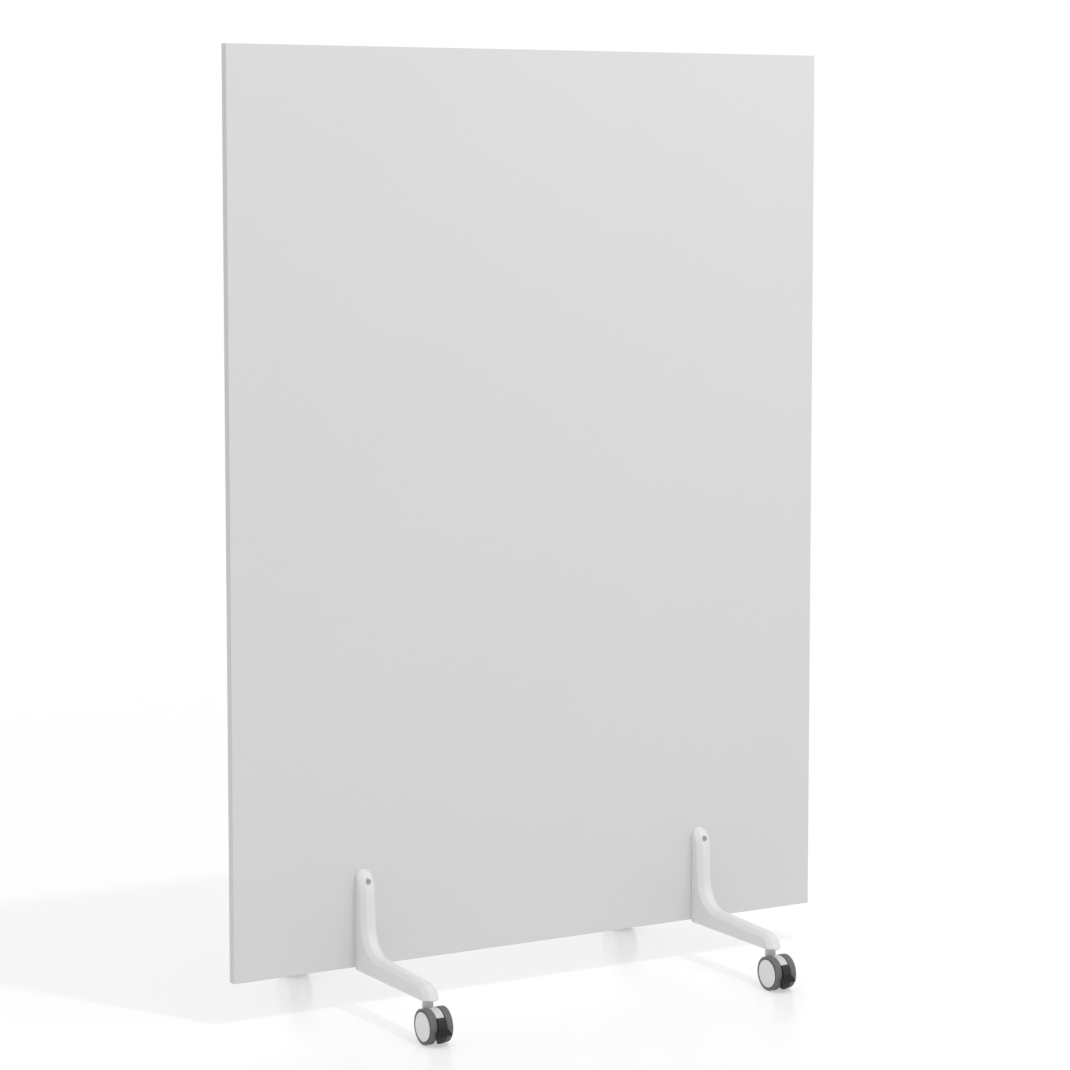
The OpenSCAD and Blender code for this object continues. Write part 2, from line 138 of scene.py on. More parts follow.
# %% A material with short ways to noise, bands and mixes
class Finish(Tree):
    """A material's nodes, with short ways to noise, bands and mixes."""

    def __init__(self, name):
        self.material = bpy.data.materials.new(name)
        self.material.use_nodes = True
        super().__init__(self.material.node_tree)
        self.shader = self.tree.nodes["Principled BSDF"]
        self.place = self.node("ShaderNodeTexCoord", output="Object")

    def noise(self, scale, detail=2.0, rough=0.5, stretch=None):
        where = self.place
        if stretch:
            where = self.node("ShaderNodeMapping", {}, {"Vector": where, "Scale": stretch})
        inputs = {"Vector": where, "Scale": scale, "Detail": detail, "Roughness": rough}
        return self.node("ShaderNodeTexNoise", {}, inputs)

    def band(self, value, low, high):
        """0 where value is under low and 1 where it is over high."""
        inputs = {"Value": value, "From Min": low, "From Max": high}
        return self.node("ShaderNodeMapRange", {"interpolation_type": "SMOOTHSTEP"}, inputs)

    def mix(self, factor, first, second):
        """The two colours, blended by the factor."""
        colours = {0: factor, 6: first, 7: second}
        return self.node("ShaderNodeMix", {"data_type": "RGBA"}, colours, output=2)

    def vector(self, operation, *inputs, output=0):
        return self.node("ShaderNodeVectorMath", {"operation": operation}, inputs, output)

    def set(self, **values):
        """Sets or links the shader's sockets, with _ for each space in a name."""
        for key, value in values.items():
            socket = self.shader.inputs[key.replace("_", " ")]
            if isinstance(value, Value):
                self.tree.links.new(value.socket, socket)
            else:
                socket.default_value = value
        return self

    def bump(self, height, distance, strength):
        inputs = {"Height": height, "Distance": distance, "Strength": strength}
        return self.set(Normal=self.node("ShaderNodeBump", {}, inputs))


def grey(level):
    """A neutral colour from a display level, which is above 10 and at most 255."""
    linear = ((level / 255 + 0.055) / 1.055) ** 2.4
    return (linear, linear, linear, 1.0)


print("level 222 is", round(grey(222)[0], 3), "as a light value")

# %% [markdown]
# ## Laminate
# The panel's faces are a thin, light grey laminate. From a step away it is an even, soft
# grey. Close up, such a sheet has a fine pebbled press texture, and cleaning leaves slightly
# smoother patches. So the colour barely varies, the roughness varies a little more, and a
# bump of a few hundredths of a millimetre does the rest.

# %% Finish of the panel
laminate = Finish("laminate_light_grey")
cloud = laminate.noise(2.2, 3.0)
speck = laminate.noise(420.0, 2.0)
laminate.set(Base_Color=laminate.mix(cloud * 0.6 + speck * 0.4, grey(221), grey(225)))
laminate.set(Roughness=0.42 + laminate.noise(6.0, 4.0) * 0.12 + speck * 0.05)
laminate.bump(laminate.noise(900.0, 2.0) + laminate.noise(300.0, 1.0) * 0.6, 0.00006, 0.5)

strip_finish = Finish("edge_strip_light_grey")
grain = strip_finish.noise(700.0, 2.0)
strip_finish.set(Base_Color=strip_finish.mix(grain, grey(215), grey(219)), Roughness=0.38 + grain * 0.12)
strip_finish.bump(grain, 0.00005, 0.5)

DARK_CHIP, PALE_CHIP = (0.42, 0.29, 0.17, 1), (0.68, 0.52, 0.34, 1)
board = Finish("pressed_board")
chips = board.noise(260.0, 4.0, 0.7, stretch=(1.0, 3.0, 1.0))
board.set(Base_Color=board.mix(board.band(chips, 0.35, 0.7), DARK_CHIP, PALE_CHIP))
board.set(Roughness=0.8 + chips * 0.15)
board.bump(chips, 0.0004, 0.7)
print("laminate has", len(laminate.tree.nodes), "nodes")

# %% [markdown]
# ## Powder coat on the legs
# The legs are castings under a baked white powder. Powder melts into a skin with a slight
# orange peel: soft dimples about two millimetres apart, over a finer grain.

# %% Finish of the legs
powder = Finish("powder_coat_white")
peel = powder.noise(520.0, 2.0)
fine = powder.noise(1900.0, 1.0)
powder.set(Base_Color=powder.mix(powder.noise(14.0, 3.0), grey(232), grey(236)))
powder.set(Roughness=0.36 + peel * 0.16)
powder.bump(peel + fine * 0.35, 0.00008, 0.6)
print("powder coat has", len(powder.tree.nodes), "nodes")

# %% [markdown]
# ## Metals
# Stems, bolts and sleeve nuts are turned steel with a dull zinc plating. Turning leaves fine
# rings, so that noise is squeezed along the axis that the piece is turned about, and plating
# leaves a faint cloudy patch here and there.

# %% Finishes of the steel pieces
def steel(name, level, rough, streak, metal=1.0):
    finish = Finish(name)
    cloudy = finish.noise(160.0, 3.0)
    rings = finish.noise(90.0, 2.0, stretch=streak)
    finish.set(Metallic=metal, Base_Color=finish.mix(cloudy, grey(level - 8), grey(level + 6)))
    finish.set(Roughness=rough + rings * 0.14 + cloudy * 0.05)
    return finish.bump(rings, 0.00004, 0.5)


zinc_stem = steel("zinc_on_turned_steel", 217, 0.58, (3.0, 3.0, 60.0), 0.15)
zinc_bolt = steel("zinc_on_bolts", 202, 0.42, (3.0, 60.0, 3.0), 0.4)
bright_bar = steel("bright_drawn_steel", 190, 0.22, (60.0, 3.0, 3.0))
spring = steel("dark_spring_steel", 96, 0.30, (10.0, 10.0, 60.0))
print("zinc has", len(zinc_stem.tree.nodes), "nodes")

# %% [markdown]
# ## Moulded plastics
# Hood and side discs are moulded in light grey nylon with a faint spark-eroded grain. The
# hubs are a darker grade of the same. The lever is black nylon, with painted shade on its lip,
# which faces down, and its colour below takes the place of the plain one.

# %% Finishes of the moulded pieces
def nylon(name, level, rough, spread=5, height=0.00006):
    finish = Finish(name)
    grain = finish.noise(1500.0, 2.0)
    patch = finish.noise(55.0, 3.0)
    blend = patch * 0.7 + grain * 0.3
    finish.set(Base_Color=finish.mix(blend, grey(level - spread), grey(level + spread)))
    finish.set(Roughness=rough + grain * 0.1 + patch * 0.08)
    return finish.bump(grain + patch * 0.4, height, 0.5)


hood_nylon = nylon("nylon_light_grey", 213, 0.36, 3)
disc_nylon = nylon("nylon_disc_grey", 238, 0.34, 3)
hub_nylon = nylon("nylon_mid_grey", 118, 0.45)

# Painted shade on the downward-facing lip: it lies farther out from the panel than the first pair, and lower
# than the second.
LIP_SHADE_OUT, LIP_SHADE_TOP = (0.3404, 0.3410), (0.0352, 0.0364)
lever_nylon = nylon("nylon_black", 44, 0.42, 5, 0.00009)
out_from_panel = lever_nylon.node("ShaderNodeSeparateXYZ", {}, [lever_nylon.place], "Y").math("ABSOLUTE")
height = lever_nylon.node("ShaderNodeSeparateXYZ", {}, [lever_nylon.place], "Z")
# The lip's colour is made darker here as painted shade, for the shade that falls where it faces down.
painted_lip_shade = lever_nylon.band(out_from_panel, *LIP_SHADE_OUT) * (1.0 - lever_nylon.band(height, *LIP_SHADE_TOP))
shell_black = lever_nylon.mix(lever_nylon.noise(55.0, 3.0), grey(40), grey(48))
lever_nylon.set(Base_Color=lever_nylon.mix(painted_lip_shade, shell_black, grey(30)), Specular_IOR_Level=0.28)
print("lever nylon has", len(lever_nylon.tree.nodes), "nodes")

# %% [markdown]
# ## Tread
# The tread is a grey non-marking rubber: dull, and darker along the running band than on its
# side walls. The band is found by the distance from the axle. All four casters stand
# at the same distance from the middle of the object, so one absolute value serves them all.

# %% Finish of the tread
RUNNING_BAND = (0.0318, 0.0345)
tread = Finish("tread_grey")
dust = tread.noise(120.0, 4.0, 0.6)
crumb = tread.noise(1300.0, 2.0)
wheel_middle = (0.0, abs(near_axle.y), near_axle.z)
from_axle = tread.vector("SUBTRACT", tread.vector("ABSOLUTE", tread.place), wheel_middle)
from_axle = tread.vector("MULTIPLY", from_axle, (0.0, 1.0, 1.0))
on_running_band = tread.band(tread.vector("LENGTH", from_axle, output="Value"), *RUNNING_BAND)
side_wall = tread.mix(dust, grey(128), grey(138))
tread.set(Base_Color=tread.mix(on_running_band, side_wall, tread.mix(dust, grey(105), grey(114))))
tread.set(Roughness=0.62 + dust * 0.2 + crumb * 0.06)
tread.bump(crumb + dust * 0.5, 0.00010, 0.6)
print("axles lie at", [round(v, 4) for v in wheel_middle])

# %% [markdown]
# ## Rounded outlines
# Most pieces here are turned or cut from an outline, or skinned over rings of points. All
# start from a flat shape whose corners are rounded, because no moulded or cast corner is
# perfectly sharp and it is the rounding that catches the light.

# %% Round the corners of an outline
def rounded(points, radius, steps=5):
    """The closed outline with each corner rounded. radius is one number or one for each point."""
    points = [Vector(p) for p in points]
    radii = radius if isinstance(radius, (list, tuple)) else [radius] * len(points)
    out = []
    for i, corner in enumerate(points):
        before = points[i - 1] - corner
        after = points[(i + 1) % len(points)] - corner
        angle = before.angle(after)
        reach = radii[i] / tan(angle / 2) if angle > 1e-4 else 0.0
        reach = min(reach, before.length * 0.49, after.length * 0.49)
        r = reach * tan(angle / 2)
        if r < 1e-6 or abs(angle - pi) < 1e-3:
            out.append(corner)
            continue
        start = corner + before.normalized() * reach
        end = corner + after.normalized() * reach
        inward = (before.normalized() + after.normalized()).normalized()
        middle = corner + inward * (r / sin(angle / 2))
        first, last = start - middle, end - middle
        turn = 1 if first.x * last.y - first.y * last.x > 0 else -1
        for k in range(steps + 1):
            a = turn * (pi - angle) * k / steps
            x = first.x * cos(a) - first.y * sin(a)
            y = first.x * sin(a) + first.y * cos(a)
            out.append(middle + Vector((x, y)))
    return out


print("a rounded square has", len(rounded([(0, 0), (1, 0), (1, 1), (0, 1)], 0.2)), "points")

# %% [markdown]
# ## Meshes from rings of points
# An edge strip, a leg and a lever are all the same thing to Blender: rings of points, one
# after the other, joined by faces and capped at both ends. Points that coincide are merged,
# and the faces are turned outwards, so that light and baking see a clean closed surface.

# %% Skin a row of rings
def cleaned(mesh):
    """Merges points that lie on each other and turns every face outwards."""
    built = bmesh.new()
    built.from_mesh(mesh)
    bmesh.ops.remove_doubles(built, verts=built.verts, dist=1e-7)
    bmesh.ops.recalc_face_normals(built, faces=built.faces)
    built.to_mesh(mesh)
    built.free()
    return mesh


def mesh_of(name, vertices, faces):
    mesh = bpy.data.meshes.new(name)
    mesh.from_pydata([tuple(v) for v in vertices], [], faces)
    return cleaned(mesh)


def skinned(name, rings):
    """Joins each ring of points to the next one and caps both ends."""
    count = len(rings[0])
    assert all(len(ring) == count for ring in rings), name
    points = [point for ring in rings for point in ring]
    faces = [tuple(range(count)), tuple(range(len(points) - 1, len(points) - count - 1, -1))]
    for here in range(0, len(points) - count, count):
        there = here + count
        for k in range(count):
            n = (k + 1) % count
            faces.append((here + k, here + n, there + n, there + k))
    print(name, "is skinned over", len(rings), "rings")
    return mesh_of(name, points, faces)


print("rings can be skinned")

# %% [markdown]
# ## Pieces on their bodies
# A finished mesh takes the place of the nodes of the construction model that it shows, and
# rides on the body that moves them. A node whose plain shape is right already keeps it, and
# only gets its finish.

# %% Put a piece in its place
def new_object(name, data):
    thing = bpy.data.objects.new(name, data)
    bpy.context.scene.collection.objects.link(thing)
    return thing


def piece(name, mesh, finish, body, slot, replaces, sharp=32):
    """Shows the mesh as a piece that rides on the body. Edges over sharp degrees stay crisp."""
    mesh.name = name
    mesh.polygons.foreach_set("use_smooth", [True] * len(mesh.polygons))
    mesh.set_sharp_from_angle(angle=radians(sharp))
    mesh.materials.clear()
    mesh.materials.append(finish.material)
    thing = new_object(name, mesh)
    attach(thing, body)
    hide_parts(*replaces)


def dress(node, finish):
    """A node of the construction model keeps its shape and gets its finish."""
    thing = frame["nodes"][node]
    for material_slot in thing.material_slots:
        material_slot.material = finish.material
    if not thing.material_slots:
        thing.data.materials.append(finish.material)


print(len(frame["nodes"]), "nodes wait for a piece or a finish")

# %% [markdown]
# ## The panel
# The board and its two laminate sheets are flat and stay as the construction model has them.
# The strips round the edges get the small rounding that a trimmer leaves on every glued
# edge. It is under a millimetre, but it draws the thin bright line down the side.

# %% Panel with rounded edge strips
TRIM_R = 0.75
STRIPS = {"top": (2, -1), "bottom": (2, 1), "left": (0, 1), "right": (0, -1)}
for node, finish in {"panel_core": board, "front_face": laminate, "back_face": laminate}.items():
    dress(node, finish)


def edge_strip(node, axis, sign):
    """A strip with its outer long edges rounded. Its hidden side looks the way of axis and sign."""
    low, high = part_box(node)
    across = [low[axis] / MM, high[axis] / MM]
    inner, outer = across if sign < 0 else across[::-1]
    front, back = low[1] / MM, high[1] / MM
    corners = [(front, inner), (back, inner), (back, outer), (front, outer)]
    outline = rounded(corners, [0, 0, TRIM_R, TRIM_R], 4)
    long_axis = 2 - axis
    rings = []
    for end in (low[long_axis], high[long_axis]):
        ring = []
        for y, a in outline:
            point = [0, y * MM, 0]
            point[axis], point[long_axis] = a * MM, end
            ring.append(point)
        rings.append(ring)
    return skinned(node + "_rounded", rings)


for side, (axis, sign) in STRIPS.items():
    node = side + "_edge_strip"
    strip = edge_strip(node, axis, sign)
    piece(node + "_rounded", strip, strip_finish, "partition", "panel_edge", [node])
print("panel", [round(v, 3) for v in panel_high - panel_low])

# %% [markdown]
# ## The legs
# A leg is one casting: a solid foot, flat against the panel and flat underneath, with a front
# that curves down from a round crown, through the elbow and out to a sloping nose. Both
# front corners carry a broad bevel. Its shape follows a rule, so it is lofted: a six-sided
# section with rounded corners slides along the front line, its base sliding down
# the panel and out along the underside. A sweep along a curve could not keep that base flat.
# Sizes are in millimetres, outwards from the panel and up from the leg's underside.

# %% Upright of the leg, from the crown down
leg_low, leg_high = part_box("front_left_leg")
HALF = (leg_high[0] - leg_low[0]) / 2 / MM
LEG_H, BEVEL = 203.5, 10.0
CROWN_R, SHOULDER_D, SHOULDER_Z = 55.0, 29.5, 156.5
UPRIGHT_D, ELBOW_R, ARM_H = 32.0, 60.0, 38.5
CROWN_TURN = 88


def crown_depth(z):
    return SHOULDER_D - CROWN_R + sqrt(CROWN_R ** 2 - (z - SHOULDER_Z) ** 2)


def upright_stations():
    """Each station is a base point, a front point, the way in, the half width and the bevel."""
    stations = []
    dome_z = LEG_H - HALF
    for k in range(22):
        turn = radians(CROWN_TURN - CROWN_TURN * k / 21)
        z = dome_z + HALF * sin(turn)
        half = HALF * cos(turn)
        stations.append(((0, z), (crown_depth(z), z), (-1, 0), half, BEVEL * half / HALF))
    for k in range(1, 13):
        z = dome_z + (SHOULDER_Z - dome_z) * k / 12
        stations.append(((0, z), (crown_depth(z), z), (-1, 0), HALF, BEVEL))
    for k in range(1, 16):
        t = k / 16
        z = SHOULDER_Z + (ARM_H + ELBOW_R - SHOULDER_Z) * t
        depth = SHOULDER_D + (UPRIGHT_D - SHOULDER_D) * t
        stations.append(((0, z), (depth, z), (-1, 0), HALF, BEVEL))
    return stations


print("upright:", len(upright_stations()), "stations")

# %% [markdown]
# ## Elbow and arm
# In the elbow the front line is an arc, and the base turns the corner from the panel to the
# underside. From there the arm falls gently to the nose.

# %% Elbow and arm of the leg
NOSE_H, ARM_L = 31.0, 262.0
FALL = atan((ARM_H - NOSE_H) / (ARM_L - UPRIGHT_D - ELBOW_R))


def elbow_stations():
    stations = []
    middle = (UPRIGHT_D + ELBOW_R, ARM_H + ELBOW_R)
    for k in range(37):
        turn = (pi / 2 - FALL) * k / 36
        way = (cos(turn), sin(turn))
        base = (0, middle[1] * (1 - k / 18)) if k < 18 else (middle[0] * (k / 18 - 1), 0)
        front = (middle[0] - ELBOW_R * way[0], middle[1] - ELBOW_R * way[1])
        stations.append((base, front, (-way[0], -way[1]), HALF, BEVEL))
    return stations


def arm_stations(first_base, first_front):
    stations = []
    for k in range(1, 24):
        t = k / 24
        base = (first_base[0] + (ARM_L - first_base[0]) * t, 0)
        front = tuple(a + (b - a) * t for a, b in zip(first_front, (ARM_L, NOSE_H)))
        stations.append((base, front, (-sin(FALL), -cos(FALL)), HALF, BEVEL))
    return stations


print("the arm falls by", round(degrees(FALL), 2), "degrees")

# %% [markdown]
# ## Nose
# The nose is a second arc that ends in a straight slope. The slope's last millimetres are
# rounded in, so that the foot has no knife edge.

# %% Nose of the leg
NOSE_R, SLOPE, FOOT_R, BASE_GAP = 30.0, radians(60), 3.2, 5


def pulled_in(distance, radius):
    """How far a rounded edge lies inside the sharp one, at a distance from its end."""
    return radius - sqrt(radius ** 2 - (radius - distance) ** 2) if distance < radius else 0.0


def nose_stations():
    stations = []
    middle = (ARM_L - NOSE_R * sin(FALL), NOSE_H - NOSE_R * cos(FALL))
    top = (middle[0] + NOSE_R * sin(SLOPE), middle[1] + NOSE_R * cos(SLOPE))
    toe = top[0] + top[1] / tan(SLOPE)
    last_base = toe - BEVEL / sin(SLOPE) - BASE_GAP
    for k in range(25):
        turn = FALL + (SLOPE - FALL) * k / 24
        way = (sin(turn), cos(turn))
        base = (ARM_L + (last_base - ARM_L) * k / 25, 0)
        front = (middle[0] + NOSE_R * way[0], middle[1] + NOSE_R * way[1])
        stations.append((base, front, (-way[0], -way[1]), HALF, BEVEL))
    heights = [top[1] + (FOOT_R - top[1]) * k / 7 for k in range(1, 8)]
    heights += [FOOT_R * (1 - sin(radians(15 * k))) for k in range(1, 7)]
    for z in heights:
        t = 1 - z / top[1]
        way = (-sin(SLOPE) * (1 - t) - t / sin(SLOPE), -cos(SLOPE) * (1 - t))
        inset = pulled_in(z, FOOT_R)
        front = (top[0] + (toe - top[0]) * t - inset, z)
        stations.append(((last_base, 0), front, way, HALF - inset, BEVEL))
    return stations


print("nose:", len(nose_stations()), "stations")

# %% [markdown]
# ## Lofting the leg
# At each station stands a section with six corners: two at the base, two where the bevels
# start and two on the front. The radii of its corners shrink with it in the crown.

# %% Loft the leg
EDGE_R, BASE_R = 5.5, 1.1


def leg_section(station):
    base, front, way, half, bevel = station
    side = (front[0] + way[0] * bevel, front[1] + way[1] * bevel)
    depth = dist(side, base)
    right = [(half - bevel, depth + bevel), (half, depth), (half, 0)]
    left = [(-x, d) for x, d in reversed(right)]
    scale = half / HALF
    edge, foot = EDGE_R * scale, BASE_R * scale
    ring = []
    for x, d in rounded(left + right, [foot] + [edge] * 4 + [foot], 5):
        if d <= depth:
            start, end, t = base, side, d / depth if depth > 1e-6 else 0
        else:
            start, end, t = side, front, (d - depth) / bevel
        out, up = (a + (b - a) * t for a, b in zip(start, end))
        ring.append((x * MM, -out * MM, up * MM))
    return ring


elbow = elbow_stations()
stations = upright_stations() + elbow + arm_stations(*elbow[-1][:2]) + nose_stations()
leg = skinned("leg", [leg_section(station) for station in stations])
print("leg:", len(leg.polygons), "faces")

# %% [markdown]
# ## The bolt's recess
# A round hole near the crown holds the clamp bolt, its head about ten millimetres down. The
# hole is cut with a boolean, which leaves a clean round rim in the curved crown. A helper
# object carries the modifiers, and what they make is kept as a plain mesh.

# %% Drill the leg
RECESS_R, BOLT_HOLE_R, BOLT_SEAT, BOLT_DROP = 6.2, 4.3, 15.0, 22.0


def evaluated(mesh, add_modifiers):
    """What the added modifiers make of the mesh, as a plain mesh."""
    helper = new_object("helper", mesh)
    add_modifiers(helper)
    graph = bpy.context.evaluated_depsgraph_get()
    out = bpy.data.meshes.new_from_object(helper.evaluated_get(graph))
    out.name = mesh.name
    bpy.data.objects.remove(helper)
    return out


def drilled(mesh, cutters):
    """The mesh with every cutter taken away from it."""
    tools = [new_object("tool", cutter) for cutter in cutters]

    def add_cuts(helper):
        for tool in tools:
            cut = helper.modifiers.new("cut", "BOOLEAN")
            cut.operation, cut.solver, cut.object = "DIFFERENCE", "EXACT", tool

    out = evaluated(mesh, add_cuts)
    for tool in tools:
        bpy.data.objects.remove(tool)
    return out


def drill(radius, start, end, height, steps=48):
    """A cylinder along Y, from start to end out from the panel, at a height over the underside."""
    turns = [2 * pi * k / steps for k in range(steps)]
    circle = [(radius * MM * cos(a), radius * MM * sin(a)) for a in turns]
    return skinned("drill", [[(x, -d * MM, z + height * MM) for x, z in circle] for d in (start, end)])


bolt_z = LEG_H - BOLT_DROP
recess = drill(RECESS_R, BOLT_SEAT, BOLT_SEAT + 25, bolt_z)
bolt_hole = drill(BOLT_HOLE_R, -5, BOLT_SEAT + 1, bolt_z)
leg = drilled(leg, [recess, bolt_hole])
print("drilled leg:", len(leg.polygons), "faces")

# %% [markdown]
# ## Four legs from one
# The four castings are alike, so the drilled leg is copied to each corner, mirrored left to
# right and front to back. One mirroring turns a shape inside out, so its faces are then
# turned round again.

# %% Put the legs in place
def moved(mesh, offset=(0, 0, 0), flip=(1, 1, 1)):
    """A copy, mirrored as flip says and then moved, with its faces still pointing outwards."""
    out = mesh.copy()
    for v in out.vertices:
        v.co = Vector((v.co[i] * flip[i] + offset[i] for i in range(3)))
    if flip[0] * flip[1] * flip[2] < 0:
        out.flip_normals()
    return out


for corner, flip in CORNERS.items():
    at = (stem_at[corner].x, -flip[1] * panel_t / 2, leg_low[2])
    mesh = moved(leg, at, (flip[0], flip[1], 1))
    piece(corner + "_leg_cast", mesh, powder, "partition", "leg_paint", [corner + "_leg"], 28)
print("legs stand at", round(leg_low[2], 4), "m")

# %% [markdown]
# ## Bolts, nuts, dowels and clips
# The fasteners are plain pieces with clean edges, and nearly all of each is hidden. They
# keep the exact shapes of the construction model and only get their finishes.

# %% Finish the fasteners
FASTENERS = {
    "clamp_bolts": zinc_bolt, "sleeve_nuts": zinc_bolt, "locating_dowels": bright_bar, "stem_clips": spring,
}
for node, finish in FASTENERS.items():
    dress(node, finish)
print("fasteners finished:", ", ".join(FASTENERS))

# %% [markdown]
# ## Turned pieces
# Stems, bosses, hubs and side discs are round about an axis. A closed outline is carried
# round that axis in steps, as a lathe would cut it. Every outline is turned round X, the way
# of the axle, and a piece that stands upright is tipped onto Z.

# %% Turn an outline on a lathe
ON_AXIS = 0.01


def lathe(name, profile, steps=96):
    """Turns a closed outline of (radius, along) in millimetres round the X axis."""
    vertices, faces = [], []
    count = len(profile)
    for s in range(steps):
        a = 2 * pi * s / steps
        vertices += [(along * MM, r * MM * cos(a), r * MM * sin(a)) for r, along in profile]
        here, there = s * count, (s + 1) % steps * count
        for k in range(count):
            n = (k + 1) % count
            faces.append((here + k, here + n, there + n, there + k))
    return mesh_of(name, vertices, faces)


def upright(mesh):
    """Turns a mesh made round X so that it stands round Z."""
    out = mesh.copy()
    for v in out.vertices:
        v.co = Vector((-v.co.z, v.co.y, v.co.x))
    return out


def joined(name, meshes):
    """One mesh that holds all of these."""
    built = bmesh.new()
    for mesh in meshes:
        built.from_mesh(mesh)
    out = bpy.data.meshes.new(name)
    built.to_mesh(out)
    built.free()
    return out


print("a turned solid starts", ON_AXIS, "mm from its axis")

# %% [markdown]
# ## Stems
# Each leg holds a stem. All that shows of it is a grey collar between leg and caster, so it
# is turned again here with the small chamfers of a real collar. Near its lower end is the
# groove of the spring clip.

# %% Stems with their collars
STEM_R, COLLAR_R, COLLAR_IN = 5, 10.75, 6
GROOVE_R, GROOVE_FROM, GROOVE_TO = 4.2, 1, 2.1
stem_low, stem_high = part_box("caster_stems")
axle_z = near_axle.z / MM
collar_low, collar_high = axle_z * 2 - COLLAR_IN, leg_low[2] / MM
low, high = stem_low[2] / MM, stem_high[2] / MM
groove = [(STEM_R, low + GROOVE_FROM), (GROOVE_R, low + GROOVE_FROM),
          (GROOVE_R, low + GROOVE_TO), (STEM_R, low + GROOVE_TO)]
collar = [(STEM_R, collar_low), (COLLAR_R, collar_low), (COLLAR_R, collar_high), (STEM_R, collar_high)]
outline = [(ON_AXIS, low), (STEM_R, low), *groove, *collar, (STEM_R, high), (ON_AXIS, high)]
stem_outline = rounded(outline, [0, 0.3, 0.1, 0.1, 0.1, 0.1, 0.1, 0.6, 0.6, 0.1, 0.8, 0], 3)
stem = upright(lathe("stem", stem_outline, 64))
stems = joined("stems_with_collars", [moved(stem, (at.x, at.y, 0)) for at in stem_at.values()])
piece("stems_with_collars", stems, zinc_stem, "partition", "caster_stem", ["caster_stems"])
print("collar from", collar_low, "to", collar_high)

# %% [markdown]
# ## Repeating things with Geometry Nodes
# The tyre and the teeth follow a simple rule: a section carried round a circle, or a shape
# set out along one. Geometry Nodes state such a rule once, with named inputs, and
# the evaluated result is then kept as a plain mesh.

# %% Grow a mesh from a node tree
class Rule(Tree):
    """A geometry node tree with named inputs, ending in Realize Instances and Set Material."""

    def __init__(self, name, **sizes):
        super().__init__(bpy.data.node_groups.new(name, "GeometryNodeTree"))
        self.tree.is_modifier = True
        self.inputs = {}
        for key, value in sizes.items():
            kind = "NodeSocketInt" if isinstance(value, int) else "NodeSocketFloat"
            self.add_socket(key, "INPUT", kind).default_value = value
        self.add_socket("Material", "INPUT", "NodeSocketMaterial")
        self.add_socket("Geometry", "OUTPUT", "NodeSocketGeometry")
        self.start = self.tree.nodes.new("NodeGroupInput")

    def add_socket(self, name, way, kind):
        label = name.replace("_", " ")
        socket = self.tree.interface.new_socket(name=label, in_out=way, socket_type=kind)
        self.inputs[name] = socket.identifier
        return socket

    def size(self, name):
        return Value(self, self.start.outputs[name.replace("_", " ")])

    def end(self, geometry):
        real = self.node("GeometryNodeRealizeInstances", {}, {"Geometry": geometry})
        inputs = {"Geometry": real, "Material": self.size("Material")}
        shown = self.node("GeometryNodeSetMaterial", {}, inputs)
        self.node("NodeGroupOutput", {}, {"Geometry": shown})

    def grow(self, name, finish, **sizes):
        """The rule's mesh at these sizes. Those not given keep their defaults."""
        def add_rule(helper):
            modifier = helper.modifiers.new("rule", "NODES")
            modifier.node_group = self.tree
            for key, value in sizes.items():
                modifier[self.inputs[key]] = value
            modifier[self.inputs["Material"]] = finish.material

        mesh = cleaned(evaluated(bpy.data.meshes.new(name), add_rule))
        print(name, "has", len(mesh.polygons), "faces")
        return mesh


print("rules can be grown")

# %% [markdown]
# ## Tyre
# The tread is a rounded rectangle carried round a circle: two broad shoulders outside, and
# nearly square corners where it sits on the rim. Which corner gets which radius is chosen
# by the side of the section that the corner is on.

# %% Rule of the tyre
tyre_rule = Rule(
    "tyre round a rim", outer_radius=0.035, inner_radius=0.0286, width=0.014,
    shoulder=0.0058, seat=0.0004, round_steps=120,
)
add, size = tyre_rule.node, tyre_rule.size
outer = size("outer_radius")
wall = outer - size("inner_radius")
section = add(
    "GeometryNodeCurvePrimitiveQuadrilateral", {"mode": "RECTANGLE"},
    {"Width": wall, "Height": size("width")},
)
across = add("ShaderNodeSeparateXYZ", {}, [add("GeometryNodeInputPosition")])
less_than = {"data_type": "FLOAT", "operation": "LESS_THAN"}
is_outer = add("FunctionNodeCompare", less_than, {0: across, 1: 0.0})
corner_radius = add(
    "GeometryNodeSwitch", {"input_type": "FLOAT"},
    {"Switch": is_outer, "False": size("seat"), "True": size("shoulder")},
)
filleted = add(
    "GeometryNodeFilletCurve", {"mode": "POLY"}, {"Curve": section, "Count": 8, "Radius": corner_radius},
)
path = add(
    "GeometryNodeCurvePrimitiveCircle", {"mode": "RADIUS"},
    {"Resolution": size("round_steps"), "Radius": outer - wall * 0.5},
)
tyre_rule.end(add("GeometryNodeCurveToMesh", {}, {"Curve": path, "Profile Curve": filleted}))
tyre_flat = tyre_rule.grow("tyre", tread)
reach = [max(abs(v.co[i]) for v in tyre_flat.vertices) for i in range(3)]
print("tyre reaches", [round(r, 4) for r in reach])

# %% [markdown]
# ## Teeth of the brake
# Behind each rim is a ring of teeth. The lever's bar drops into one of the slots between them
# and holds the wheel. One tooth is a small block with eased edges, set out round the ring.
# The ring is turned so that a slot waits for the bar when the lever is pressed. The bar
# swings in on an arc, so a slot's middle stands at a share of the angle at which the bar
# ends, and the bar clears both teeth on its way in.

# %% Rule of the tooth ring
TOOTH_COUNT, SLOT_SHARE = 12, 0.7
bar_low, bar_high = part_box("front_left_brake_bar")
press = next(joint for joint in frame["joints"] if joint["name"] == "front_left_lever_press")
throw = radians(press["range_deg"][1])
swing = (bar_low + bar_high) / 2 - near_pin
swing.rotate(Matrix.Rotation(throw, 3, Vector(press["axis"])))
bar_locked = near_pin + swing - near_axle
slot_turn = atan2(bar_locked.z, -bar_locked.y) * SLOT_SHARE

